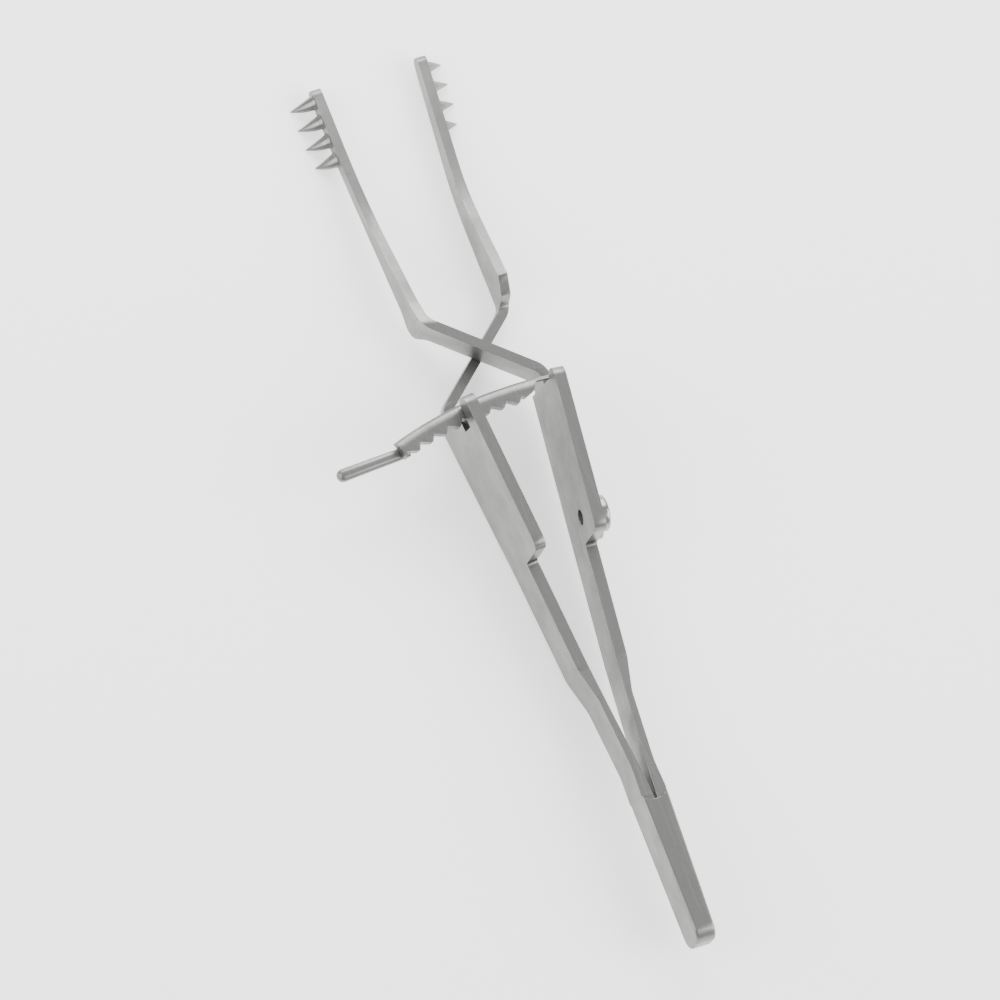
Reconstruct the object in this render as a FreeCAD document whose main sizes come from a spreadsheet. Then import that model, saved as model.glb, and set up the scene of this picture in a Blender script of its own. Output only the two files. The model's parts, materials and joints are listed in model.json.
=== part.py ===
import FreeCAD, Part
import math
import os
from typing import NamedTuple

import Sketcher

# Self retaining retractor with crossing arms, in millimetres.
#
# Two spring leaves leave a solid butt, widen into gripping plates and cross over into two
# arms that end in rakes of four claws. A toothed ratchet bar is screwed to the right plate
# by its spring tail and passes through a notch in the left plate, whose catch edge it holds.
#
# Every piece is drawn in a frame whose origin is the pivot about which the leaves bend:
# X across the instrument (right is positive), Y towards the claws, Z up. Pieces of a limb
# use the limb frame, turned so that Y runs along that limb's plate.

RIGHT = 1
LEFT = -1

DIMENSIONS = {
    # Butt, which joins the two leaves
    "butt_length": 17.5,
    "butt_depth": 5.2,
    "butt_half_width": 1.62,
    "butt_end_half_width": 1.25,
    "butt_shoulder_length": 1.5,
    "butt_end_rounding": 1.7,
    "butt_edge_rounding": 0.3,
    # Bending point of the leaves, and the fine joint between leaf and butt
    "pivot_station": 2.0,
    "knuckle_gap": 0.03,
    "slot_half_gap": 0.17,
    "slot_run": 0.83,
    # Limb: direction of the plate and how far its outer face lies from the pivot
    "limb_angle": 5.506,
    "plate_offset": 1.66,
    "plate_thickness": 1.4,
    # Spring leaf, stations along the limb from the pivot
    "waist_station": 2.42,
    "waist_offset": 1.22,
    "step_station": 11.04,
    "step_offset": 1.02,
    "hip_station": 15.32,
    "waist_blend": 12.0,
    "step_blend": 4.0,
    "hip_blend": 3.5,
    "leaf_top_level": 1.33,
    "left_leaf_level": -4.35,
    "right_leaf_level": -4.0,
    # Gripping plate
    "plate_station": 28.79,
    "plate_length": 19.48,
    "plate_top_level": 7.06,
    "left_toe_level": -5.3,
    "right_toe_level": -3.7,
    "heel_foot_run": 0.25,
    "heel_top_run": 0.35,
    "heel_rounding": 1.2,
    "heel_foot_rounding": 0.4,
    "nose_reach": 0.88,
    "nose_bottom_level": 4.5,
    "nose_rounding": 1.1,
    "notch_bottom_level": 2.2,
    # Ratchet bar: how far it rises past the plates, and angles to the left of the right limb
    "bar_rise": 0.5,
    "bar_web": 1.65,
    "tooth_depth": 0.7,
    "bar_bottom_level": 3.1,
    "bar_depth": 1.25,
    "tooth_pitch_angle": 2.36,
    "tooth_count": 9,
    "first_root_angle": 4.08,
    "tooth_steep_angle": 0.61,
    "tooth_land_angle": 0.28,
    "bar_start_angle": 4.8,
    "bar_end_angle": 23.5,
    "bar_edge_rounding": 0.4,
    # Catch edge of the left plate
    "catch_clearance": 0.05,
    "catch_height": 0.6,
    "catch_run": 0.45,
    # Spring neck, tail and screw of the ratchet
    "strip_thickness": 0.45,
    "neck_rise": 0.65,
    "neck_left": -0.95,
    "bar_foot_left": -1.75,
    "bar_foot_drop": 0.95,
    "neck_foot_left": -1.25,
    "neck_inset": 0.45,
    "neck_gap": 0.04,
    "bend_radius": 0.85,
    "eye_half_width": 1.9,
    "eye_rounding": 1.75,
    "eye_reach": 2.9,
    "screw_run": 3.26,
    "screw_level": 2.3,
    "screw_shank_radius": 0.9,
    "screw_clearance": 0.02,
    "screw_head_radius": 2.15,
    "screw_head_height": 1.2,
    "screw_head_rounding": 0.4,
    "screw_slot_width": 0.5,
    "screw_slot_depth": 0.45,
    "screw_end_recess": 0.4,
    # Thumb tab, in its own frame turned to the left of the instrument's axis
    "tab_angle": 2.9,
    "tab_rise": 0.03,
    "tab_thickness": 1.15,
    "tab_depth": 1.4,
    "tab_right": 11.13,
    "tab_left": 20.3,
    "tab_end_rounding": 0.55,
    "tab_groove_width": 0.34,
    "tab_groove_depth": 0.18,
    "tab_groove_margin": 1.5,
    # Crossing bars, in the frame of the instrument
    "bar_thickness": 1.15,
    "left_root_run": 1.75,
    "right_root_run": 1.25,
    "cross_root_rounding": 2.2,
    "left_bend_run": 10.97,
    "left_bend_half": 5.77,
    "right_bend_run": 10.43,
    "right_bend_half": 5.5,
    "cross_bend_rounding": 2.4,
    "cross_top_level": 1.55,
    "cross_bottom_level": -2.75,
    "under_top_level": -3.12,
    "under_bottom_level": -4.9,
    # Rake arms, each with a slight bend between its root and the claws
    "arm_run": 13.73,
    "arm_length": 27.75,
    "left_arm_bend_run": 17.0,
    "left_arm_bend_half": 6.76,
    "left_tip_half": 6.87,
    "right_arm_bend_run": 11.0,
    "right_arm_bend_half": 5.1,
    "right_tip_half": 6.43,
    "arm_bend_rounding": 38.0,
    "arm_root_top_level": 0.37,
    "arm_root_bottom_level": -3.35,
    "rake_run": 16.0,
    "rake_bottom_level": -3.9,
    "slope_run": 10.8,
    "slope_end_level": -2.0,
    "slope_end_rounding": 9.0,
    "arm_tip_top_level": -2.92,
    "arm_tip_bottom_level": -4.7,
    "arm_end_rounding": 0.8,
    "knee_level": -4.2,
    "knee_rounding": 0.35,
    # Claws
    "claw_count": 4,
    "claw_margin": 1.35,
    "claw_pitch": 2.38,
    "claw_level": -3.9,
    "claw_half_height": 0.64,
    "claw_reach": 2.6,
    "claw_drop": 1.5,
    "claw_width": 1.6,
    "claw_tip_width": 0.14,
    "claw_back_radius": 3.3,
    "claw_belly_radius": 6.0,
    "claw_flank_radius": 5.0,
}

# Stations and radii that follow from the sizes above
DERIVED = {
    "plate_end_station": "plate_station + plate_length",
    "nose_station": "plate_end_station + nose_reach",
    "bar_outer_radius": "plate_end_station + bar_rise",
    "bar_root_radius": "bar_outer_radius - bar_web",
    "tooth_tip_radius": "bar_root_radius - tooth_depth",
    "neck_top_station": "plate_end_station + neck_rise",
    "bar_foot_station": "plate_end_station - bar_foot_drop",
    "screw_station": "plate_station + screw_run",
    "tab_station": "tooth_tip_radius + tab_rise",
    "left_bend_station": "plate_end_station + left_bend_run",
    "right_bend_station": "plate_end_station + right_bend_run",
    "arm_station": "plate_end_station + arm_run",
    "slope_end_station": "arm_station + slope_run",
    "rake_station": "arm_station + rake_run",
    "arm_tip_station": "arm_station + arm_length",
    "first_claw_station": "arm_tip_station - claw_margin",
}


class Corner(NamedTuple):
    """A corner of an outline, with its place and sizes as expressions.

    radius rounds the corner. arc is the radius of an arc that runs from this corner to the
    next, and turn is 1 where that arc turns left and -1 where it turns right.
    """

    x: str
    y: str
    radius: str = ""
    arc: str = ""
    turn: int = 0


doc = FreeCAD.newDocument("Retractor")
sheet = doc.addObject("Spreadsheet::Sheet", "Sizes")
cells = {alias: str(value) for alias, value in DIMENSIONS.items()}
cells.update({alias: f"={rule}" for alias, rule in DERIVED.items()})
for row, (alias, content) in enumerate(cells.items(), start=1):
    sheet.set(f"A{row}", alias)
    sheet.set(f"B{row}", content)
    sheet.setAlias(f"B{row}", alias)
doc.recompute()
reader = doc.addObject("App::FeaturePython", "Reader")


def bound(text):
    """Return text as an expression, with every named size read from the sheet."""
    words = []
    word = ""
    for letter in text + " ":
        if letter.isalnum() or letter == "_":
            word += letter
            continue
        words.append(f"Sizes.{word}" if word in cells else word)
        words.append(letter)
        word = ""
    return "".join(words).strip()


def number(text):
    """Return the present value of an expression."""
    result = reader.evalExpression(bound(text))
    return float(getattr(result, "Value", result))


def limb_body(label, side):
    """Return a body in the frame of one limb, with Y along its plate."""
    body = pivot_body(label)
    turn = FreeCAD.Rotation(FreeCAD.Vector(0, 0, -side), number("limb_angle"))
    body.Placement = FreeCAD.Placement(body.Placement.Base, turn)
    body.setExpression("Placement.Rotation.Angle", bound("limb_angle"))
    return body


def pivot_body(label):
    """Return a body in the frame of the instrument, with its origin at the pivot."""
    body = doc.addObject("PartDesign::Body", label)
    body.Label = label
    body.setExpression("Placement.Base.y", bound("butt_length / 2 + pivot_station"))
    body.setExpression("Placement.Base.z", bound("butt_depth / 2"))
    return body


def add_sketch(body, name, role, offset=""):
    """Attach a sketch to one of the body's own origin planes, raised by offset."""
    sketch = body.newObject("Sketcher::SketchObject", name)
    plane = next(item for item in body.Origin.OriginFeatures if item.Role == role)
    sketch.AttachmentSupport = [(plane, "")]
    sketch.MapMode = "FlatFace"
    if offset:
        sketch.setExpression("AttachmentOffset.Base.z", bound(offset))
    return sketch


def constrain(sketch, constraint, expression=""):
    """Add one constraint and bind its value to an expression."""
    index = sketch.addConstraint(constraint)
    if expression:
        sketch.setExpression(f"Constraints[{index}]", bound(expression))
    return index


def place_point(sketch, geometry, position, x, y):
    """Fix one end of a piece of geometry at x and y from the sketch's origin."""
    across = Sketcher.Constraint("DistanceX", -1, 1, geometry, position, number(x))
    along = Sketcher.Constraint("DistanceY", -1, 1, geometry, position, number(y))
    constrain(sketch, across, x)
    constrain(sketch, along, y)


def arc_between(start, end, radius, turn):
    """Return the arc from start to end that turns left (1) or right (-1)."""
    chord = end - start
    middle = (start + end) * 0.5
    normal = FreeCAD.Vector(-chord.y, chord.x, 0).normalize()
    height = math.sqrt(max(radius ** 2 - (chord.Length / 2) ** 2, 0))
    centre = middle + normal * (height * turn)
    circle = Part.Circle(centre, FreeCAD.Vector(0, 0, 1), radius)
    first, last = (start, end) if turn > 0 else (end, start)
    begin = math.atan2(first.y - centre.y, first.x - centre.x)
    finish = math.atan2(last.y - centre.y, last.x - centre.x)
    return Part.ArcOfCircle(circle, begin, finish)


def rounding(before, corner, after, radius):
    """Return the two tangent points of a rounded corner and its turning sense."""
    back = (before - corner).normalize()
    ahead = (after - corner).normalize()
    half = back.getAngle(ahead) / 2
    reach = radius / math.tan(half)
    turn = 1 if back.x * ahead.y - back.y * ahead.x < 0 else -1
    return corner + back * reach, corner + ahead * reach, turn


def closed_outline(sketch, corners, side=RIGHT):
    """Draw one closed outline, mirrored across X = 0 for the left side."""
    if side == LEFT:
        corners = [Corner(f"-({c.x})", c.y, c.radius, c.arc, -c.turn) for c in corners]
    points = [FreeCAD.Vector(number(c.x), number(c.y), 0) for c in corners]
    count = len(corners)
    arrive = list(points)
    leave = list(points)
    turns = [0] * count
    for i, corner in enumerate(corners):
        if corner.radius:
            arrive[i], leave[i], turns[i] = rounding(
                points[i - 1], points[i], points[(i + 1) % count], number(corner.radius))
    edges = []
    for i, corner in enumerate(corners):
        start = leave[i]
        end = arrive[(i + 1) % count]
        if corner.arc:
            shape = arc_between(start, end, number(corner.arc), corner.turn)
        else:
            shape = Part.LineSegment(start, end)
        edges.append(sketch.addGeometry(shape, False))
    first = [2 if c.arc and c.turn < 0 else 1 for c in corners]
    last = [1 if c.arc and c.turn < 0 else 2 for c in corners]
    for i, corner in enumerate(corners):
        before = edges[i - 1]
        after = edges[i]
        if not corner.radius:
            constrain(sketch, Sketcher.Constraint(
                "Coincident", before, last[i - 1], after, first[i]))
            place_point(sketch, after, first[i], corner.x, corner.y)
            continue
        radius = number(corner.radius)
        blend = sketch.addGeometry(arc_between(arrive[i], leave[i], radius, turns[i]), False)
        enters, leaves = (1, 2) if turns[i] > 0 else (2, 1)
        apex = sketch.addGeometry(Part.Point(points[i]), True)
        place_point(sketch, apex, 1, corner.x, corner.y)
        constrain(sketch, Sketcher.Constraint("PointOnObject", apex, 1, before))
        constrain(sketch, Sketcher.Constraint("PointOnObject", apex, 1, after))
        constrain(sketch, Sketcher.Constraint("Tangent", before, 2, blend, enters))
        constrain(sketch, Sketcher.Constraint("Tangent", blend, leaves, after, 1))
        constrain(sketch, Sketcher.Constraint("Radius", blend, radius), corner.radius)
    for i, corner in enumerate(corners):
        if corner.arc:
            radius = number(corner.arc)
            constrain(sketch, Sketcher.Constraint("Radius", edges[i], radius), corner.arc)


def circle_outline(sketch, x, y, radius):
    """Draw a circle about the point x, y."""
    centre = FreeCAD.Vector(number(x), number(y), 0)
    circle = Part.Circle(centre, FreeCAD.Vector(0, 0, 1), number(radius))
    index = sketch.addGeometry(circle, False)
    place_point(sketch, index, 3, x, y)
    constrain(sketch, Sketcher.Constraint("Radius", index, number(radius)), radius)


def pad(body, sketch, name, length, both_ways=False, backwards=False):
    """Pad a sketch by length, to both sides or against its normal where told so."""
    feature = body.newObject("PartDesign::Pad", name)
    feature.Profile = sketch
    feature.SideType = "Symmetric" if both_ways else "One side"
    feature.Reversed = backwards
    feature.setExpression("Length", bound(length))
    sketch.Visibility = False
    doc.recompute()
    return feature


def cut_through(body, sketch, name):
    """Cut a sketch right through the body, to both sides of its plane."""
    feature = body.newObject("PartDesign::Pocket", name)
    feature.Profile = sketch
    feature.Type = "ThroughAll"
    feature.SideType = "Symmetric"
    before = body.Shape.Volume
    doc.recompute()
    if not feature.Shape.Volume < before:
        raise ValueError(f"{name} cuts nothing")
    return feature


def cut_to(body, sketch, name, length, both_ways=False, backwards=False):
    """Cut a sketch into the body by length."""
    feature = body.newObject("PartDesign::Pocket", name)
    feature.Profile = sketch
    feature.SideType = "Symmetric" if both_ways else "One side"
    feature.Reversed = backwards
    feature.setExpression("Length", bound(length))
    before = body.Shape.Volume
    doc.recompute()
    if not feature.Shape.Volume < before:
        raise ValueError(f"{name} cuts nothing")
    return feature


def round_edges(body, name, radius, wanted):
    """Round the edges of the body's tip for which wanted is true."""
    base = body.Tip
    names = [f"Edge{i}" for i, edge in enumerate(base.Shape.Edges, start=1) if wanted(edge)]
    feature = body.newObject("PartDesign::Fillet", name)
    feature.Base = (base, names)
    feature.setExpression("Radius", bound(radius))
    doc.recompute()
    return feature


BLANK_DEPTH = "3 * plate_top_level"

# Two faces or edges this close together count as touching when edges are picked
TOUCH = 0.01


def level_cut(body, name, top, bottom):
    """Trim a blank to a top and a bottom line, each a list of corners in the Y-Z plane."""
    sketch = add_sketch(body, f"{name}_levels", "YZ_Plane")
    for line, far in ((top, BLANK_DEPTH), (bottom, f"-{BLANK_DEPTH}")):
        ends = [Corner(line[-1].x, far), Corner(line[0].x, far)]
        closed_outline(sketch, [*line, *ends])
    return cut_through(body, sketch, f"{name}_trim")


def polar(radius, angle):
    """Return x and y of the point at radius from the pivot, angle degrees to the left."""
    turn = f"(({angle}) * 1deg)"
    return f"-({radius}) * sin({turn})", f"({radius}) * cos({turn})"


def turned(x, y, angle):
    """Return x and y of a point after a turn to the left by angle degrees."""
    turn = f"(({angle}) * 1deg)"
    return (f"({x}) * cos({turn}) - ({y}) * sin({turn})",
            f"({x}) * sin({turn}) + ({y}) * cos({turn})")


KNUCKLE = "(pivot_station - knuckle_gap)"


def knuckle_point(offset):
    """Return the point of the leaf's round root that lies offset from the middle plane."""
    turn = f"(asin({offset} / {KNUCKLE}) + limb_angle * 1deg)"
    return f"{KNUCKLE} * sin{turn}", f"-{KNUCKLE} * cos{turn}"


def build_butt():
    """Build the solid butt, whose end faces the round roots of the leaves."""
    body = pivot_body("butt_block")
    outline = add_sketch(body, "butt_outline", "XY_Plane")
    end = "-(pivot_station + butt_length)"
    shoulder = f"{end} + butt_shoulder_length"
    top = "-sqrt(pow(pivot_station; 2) - pow(butt_half_width; 2))"
    closed_outline(outline, [
        Corner("-butt_end_half_width", end),
        Corner("butt_end_half_width", end),
        Corner("butt_end_half_width", shoulder),
        Corner("butt_half_width", "-pivot_station"),
        Corner("butt_half_width", top, arc="pivot_station", turn=-1),
        Corner("-butt_half_width", top),
        Corner("-butt_half_width", "-pivot_station"),
        Corner("-butt_end_half_width", shoulder),
    ])
    pad(body, outline, "butt_pad", "butt_depth", both_ways=True)
    limit = number(end)
    half = number("butt_depth / 2")

    def at_end(edge):
        box = edge.BoundBox
        return box.YMax < limit + TOUCH and abs(abs(box.ZMax + box.ZMin) / 2 - half) < TOUCH

    def along_side(edge):
        box = edge.BoundBox
        flat = abs(abs(box.ZMax + box.ZMin) / 2 - half) < TOUCH
        return flat and box.YLength > half and box.YMax < TOUCH - number("pivot_station")

    round_edges(body, "butt_end_round", "butt_end_rounding", at_end)
    round_edges(body, "butt_side_round", "butt_edge_rounding", along_side)
    return body


def build_leaf(side, label, bottom_level):
    """Build a spring leaf, thinned between its root and the step at the hip."""
    body = limb_body(label, side)
    outline = add_sketch(body, f"{label}_outline", "XY_Plane")
    inner = "plate_offset - plate_thickness"
    root_inner = knuckle_point("slot_half_gap")
    root_outer = knuckle_point("butt_half_width")
    closed_outline(outline, [
        Corner(*root_inner, arc=KNUCKLE, turn=1),
        Corner(*root_outer),
        Corner("waist_offset", "waist_station", radius="waist_blend"),
        Corner("step_offset", "step_station", radius="step_blend"),
        Corner("plate_offset", "hip_station", radius="hip_blend"),
        Corner("plate_offset", "plate_station"),
        Corner(inner, "plate_station"),
        Corner(inner, "slot_run"),
    ], side)
    pad(body, outline, f"{label}_pad", BLANK_DEPTH, both_ways=True)
    level_cut(body, label, [
        Corner("-2 * pivot_station", "butt_depth / 2"),
        Corner("-pivot_station", "butt_depth / 2"),
        Corner("hip_station", "leaf_top_level"),
        Corner("plate_station + pivot_station", "leaf_top_level"),
    ], [
        Corner("-2 * pivot_station", "-butt_depth / 2"),
        Corner("-pivot_station", "-butt_depth / 2"),
        Corner("hip_station", bottom_level),
        Corner("plate_station + pivot_station", bottom_level),
    ])
    return body


def build_plate(side, label, bottom_level, toe_level, notched):
    """Build a gripping plate with its heel, nose and, on the left, the ratchet's notch."""
    body = limb_body(label, side)
    floor = CATCH_STATION if notched else "plate_end_station"
    corners = [
        Corner("plate_station", bottom_level),
        Corner("plate_end_station", toe_level),
    ]
    if notched:
        corners += [
            Corner("plate_end_station", "notch_bottom_level"),
            Corner(floor, "notch_bottom_level"),
        ]
    corners += [
        Corner(floor, "nose_bottom_level"),
        Corner("nose_station", "nose_bottom_level", radius="nose_rounding"),
        Corner("nose_station", "plate_top_level", radius="nose_rounding"),
        Corner("plate_station + heel_foot_run + heel_top_run", "plate_top_level",
               radius="heel_rounding"),
        Corner("plate_station + heel_foot_run", "leaf_top_level",
               radius="heel_foot_rounding"),
        Corner("plate_station", "leaf_top_level"),
    ]
    profile = add_sketch(body, f"{label}_profile", "YZ_Plane", f"{side} * plate_offset")
    closed_outline(profile, corners)
    pad(body, profile, f"{label}_pad", "plate_thickness", backwards=side == RIGHT)
    if notched:
        cut_catch(body, label, side)
    else:
        hole = add_sketch(body, "screw_hole_outline", "YZ_Plane")
        circle_outline(hole, "screw_station", "screw_level",
                       "screw_shank_radius + screw_clearance")
        cut_through(body, hole, "screw_hole")
    return body


CATCH_RADIUS = "(tooth_tip_radius - catch_clearance)"
CATCH_STATION = f"sqrt(pow({CATCH_RADIUS}; 2) - pow(plate_offset - plate_thickness; 2))"


def cut_catch(body, label, side):
    """Bevel the floor of the notch, so that only its inner edge meets the ratchet."""
    inner = "(plate_offset - plate_thickness)"
    low = f"{CATCH_STATION} - catch_height"
    sketch = add_sketch(body, f"{label}_bevel", "XY_Plane",
                        "(notch_bottom_level + nose_bottom_level) / 2")
    closed_outline(sketch, [
        Corner(inner, CATCH_STATION),
        Corner(inner, "nose_station"),
        Corner("plate_offset + plate_thickness", "nose_station"),
        Corner("plate_offset + plate_thickness", low),
        Corner(f"{inner} + catch_run", low),
    ], side)
    cut_to(body, sketch, "catch_bevel", "nose_bottom_level - notch_bottom_level",
           both_ways=True)


def build_ratchet_bar():
    """Build the toothed bar and the spring neck that joins it to the tail."""
    body = limb_body("ratchet_bar", RIGHT)
    outline = add_sketch(body, "bar_outline", "XY_Plane", "bar_bottom_level")
    neck_right = "plate_offset - neck_inset - neck_gap"
    neck_bottom = "neck_top_station - strip_thickness"
    closed_outline(outline, [
        Corner(*polar("tooth_tip_radius", "bar_start_angle")),
        Corner("bar_foot_left", "bar_foot_station", radius="strip_thickness"),
        Corner("neck_foot_left", neck_bottom, radius="strip_thickness"),
        Corner(neck_right, neck_bottom),
        Corner(neck_right, "neck_top_station"),
        Corner("neck_left", "neck_top_station", radius="2 * bend_radius"),
        Corner(*polar("bar_outer_radius", "bar_start_angle"), arc="bar_outer_radius", turn=1),
        Corner(*polar("bar_outer_radius", "bar_end_angle")),
        Corner(*polar("tooth_tip_radius", "bar_end_angle"), arc="tooth_tip_radius", turn=-1),
    ])
    pad(body, outline, "bar_pad", "bar_depth")
    cut_teeth(body)
    top = number("bar_bottom_level + bar_depth")
    least = number("bar_outer_radius / 4")

    def on_crown(edge):
        return edge.BoundBox.ZMin > top - TOUCH and edge.Length > least

    round_edges(body, "bar_crown", "bar_edge_rounding", on_crown)
    return body


def cut_teeth(body):
    """Cut the gap on the right of the first tooth and repeat it along the bar."""
    gap = add_sketch(body, "tooth_gap", "XY_Plane")
    steep = "first_root_angle + tooth_steep_angle"
    gentle = "first_root_angle + tooth_steep_angle + tooth_land_angle - tooth_pitch_angle"
    below = "tooth_tip_radius - strip_thickness"
    closed_outline(gap, [
        Corner(*polar(below, steep)),
        Corner(*polar(below, gentle)),
        Corner(*polar("tooth_tip_radius", gentle)),
        Corner(*polar("bar_root_radius", "first_root_angle")),
        Corner(*polar("tooth_tip_radius", steep)),
    ])
    first = cut_through(body, gap, "first_tooth_gap")
    pattern = body.newObject("PartDesign::PolarPattern", "tooth_gaps")
    pattern.Originals = [first]
    pattern.Axis = (gap, ["N_Axis"])
    pattern.setExpression("Angle", bound("tooth_pitch_angle * (tooth_count - 1)"))
    pattern.setExpression("Occurrences", bound("tooth_count"))
    body.Tip = pattern
    doc.recompute()


def build_thumb_tab():
    """Build the thumb tab, a tongue brazed under the bar, with a round end and a groove."""
    body = pivot_body("thumb_tab")
    turn = FreeCAD.Rotation(FreeCAD.Vector(0, 0, 1), number("tab_angle"))
    body.Placement = FreeCAD.Placement(body.Placement.Base, turn)
    body.setExpression("Placement.Rotation.Angle", bound("tab_angle"))
    low = "tab_station - tab_thickness"
    outline = add_sketch(body, "tab_outline", "XY_Plane", "bar_bottom_level")
    closed_outline(outline, [
        Corner("-tab_right", "tab_station"),
        Corner("-tab_left", "tab_station", radius="tab_end_rounding"),
        Corner("-tab_left", low, radius="tab_end_rounding"),
        Corner("-tab_right", low),
    ])
    pad(body, outline, "tab_pad", "tab_depth", backwards=True)
    groove = add_sketch(body, "tab_groove_outline", "XY_Plane",
                        "bar_bottom_level - tab_groove_depth")
    middle = "tab_station - tab_thickness / 2"
    right = "-(tab_right + tab_left) / 2"
    left = "-tab_left + tab_groove_margin"
    half = "tab_groove_width / 2"
    closed_outline(groove, [
        Corner(right, f"{middle} - {half}"),
        Corner(right, f"{middle} + {half}"),
        Corner(left, f"{middle} + {half}"),
        Corner(left, f"{middle} - {half}"),
    ])
    cut_to(body, groove, "tab_groove", "2 * tab_groove_depth", backwards=True)
    return body


def build_ratchet_spring():
    """Build the spring tail that bends down the plate's outer face to the screw."""
    body = limb_body("ratchet_spring", RIGHT)
    outer = "plate_offset + strip_thickness"
    neck_bottom = "neck_top_station - strip_thickness"
    left = "plate_offset - neck_inset"
    end = "screw_station - eye_reach"
    outline = add_sketch(body, "spring_outline", "XY_Plane")
    closed_outline(outline, [
        Corner(left, neck_bottom),
        Corner("plate_offset", neck_bottom, radius="(bend_radius - strip_thickness) / 2"),
        Corner("plate_offset", end),
        Corner(outer, end),
        Corner(outer, "neck_top_station", radius="bend_radius"),
        Corner(left, "neck_top_station"),
    ])
    pad(body, outline, "spring_pad", BLANK_DEPTH, both_ways=True)
    far = "neck_top_station + bend_radius"
    shoulder = "screw_station + 2 * eye_half_width"
    level_cut(body, "spring", [
        Corner(f"{end} - bend_radius", "screw_level"),
        Corner(end, "screw_level"),
        Corner(end, "screw_level + eye_half_width", radius="eye_rounding"),
        Corner(shoulder, "bar_bottom_level + bar_depth", radius="eye_half_width"),
        Corner(far, "bar_bottom_level + bar_depth"),
    ], [
        Corner(f"{end} - bend_radius", "screw_level"),
        Corner(end, "screw_level"),
        Corner(end, "screw_level - eye_half_width", radius="eye_rounding"),
        Corner(shoulder, "screw_level - eye_half_width", radius="eye_half_width"),
        Corner(f"{shoulder} + 2 * eye_half_width", "bar_bottom_level", radius="eye_half_width"),
        Corner(far, "bar_bottom_level"),
    ])
    hole = add_sketch(body, "eye_outline", "YZ_Plane")
    circle_outline(hole, "screw_station", "screw_level",
                   "screw_shank_radius + screw_clearance")
    cut_through(body, hole, "eye_hole")
    return body


def build_screw():
    """Build the slotted screw that holds the spring tail to the right plate."""
    body = limb_body("ratchet_screw", RIGHT)
    seat = "plate_offset + strip_thickness"
    head = add_sketch(body, "head_outline", "YZ_Plane", seat)
    circle_outline(head, "screw_station", "screw_level", "screw_head_radius")
    pad(body, head, "head_pad", "screw_head_height")
    top = number(f"{seat} + screw_head_height")
    round_edges(body, "head_round", "screw_head_rounding",
                lambda edge: edge.BoundBox.XMin > top - TOUCH)
    shank = add_sketch(body, "shank_outline", "YZ_Plane",
                       "plate_offset - plate_thickness + screw_end_recess")
    circle_outline(shank, "screw_station", "screw_level", "screw_shank_radius")
    pad(body, shank, "shank_pad",
        "plate_thickness - screw_end_recess + strip_thickness + screw_slot_depth")
    slot = add_sketch(body, "slot_outline", "YZ_Plane", f"{seat} + screw_head_height")
    half = "screw_slot_width / 2"
    reach = "screw_head_radius + screw_slot_width"
    closed_outline(slot, [
        Corner(f"screw_station - {reach}", f"screw_level - {half}"),
        Corner(f"screw_station + {reach}", f"screw_level - {half}"),
        Corner(f"screw_station + {reach}", f"screw_level + {half}"),
        Corner(f"screw_station - {reach}", f"screw_level + {half}"),
    ])
    cut_to(body, slot, "screw_slot", "screw_slot_depth")
    return body


class Arm(NamedTuple):
    """The run of one limb beyond its plate, which ends in the rake on the other side.

    hand is the side of the rake, and name the prefix of its sizes.
    """

    hand: int
    name: str

    def bend(self):
        """Return the point where the crossing bar bends into the arm."""
        return f"({self.hand} * {self.name}_bend_half)", f"{self.name}_bend_station"

    def waist(self):
        """Return the point of the arm's slight bend."""
        station = f"(arm_station + {self.name}_arm_bend_run)"
        return f"({self.hand} * {self.name}_arm_bend_half)", station

    def tip(self):
        """Return the middle of the arm's end."""
        return f"({self.hand} * {self.name}_tip_half)", "arm_tip_station"

    def root(self):
        """Return the point where the crossing bar ends and the arm starts."""
        return self.between(self.bend(), self.waist(), "arm_station"), "arm_station"

    def between(self, start, end, station):
        """Return the middle of the arm at a station on the line from start to end."""
        slope = f"(({end[0]} - {start[0]}) / ({end[1]} - {start[1]}))"
        return f"({start[0]} + {slope} * ({station} - {start[1]}))"

    def rake_x(self, station):
        """Return the middle of the arm at a station among the claws."""
        return self.between(self.waist(), self.tip(), station)

    def rake_angle(self):
        """Return the angle between the claws' part of the arm and the instrument's axis."""
        start = self.waist()
        end = self.tip()
        return f"atan({self.hand} * ({end[0]} - {start[0]}) / ({end[1]} - {start[1]}))"


LEFT_RAKE = Arm(LEFT, "left")
RIGHT_RAKE = Arm(RIGHT, "right")


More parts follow.
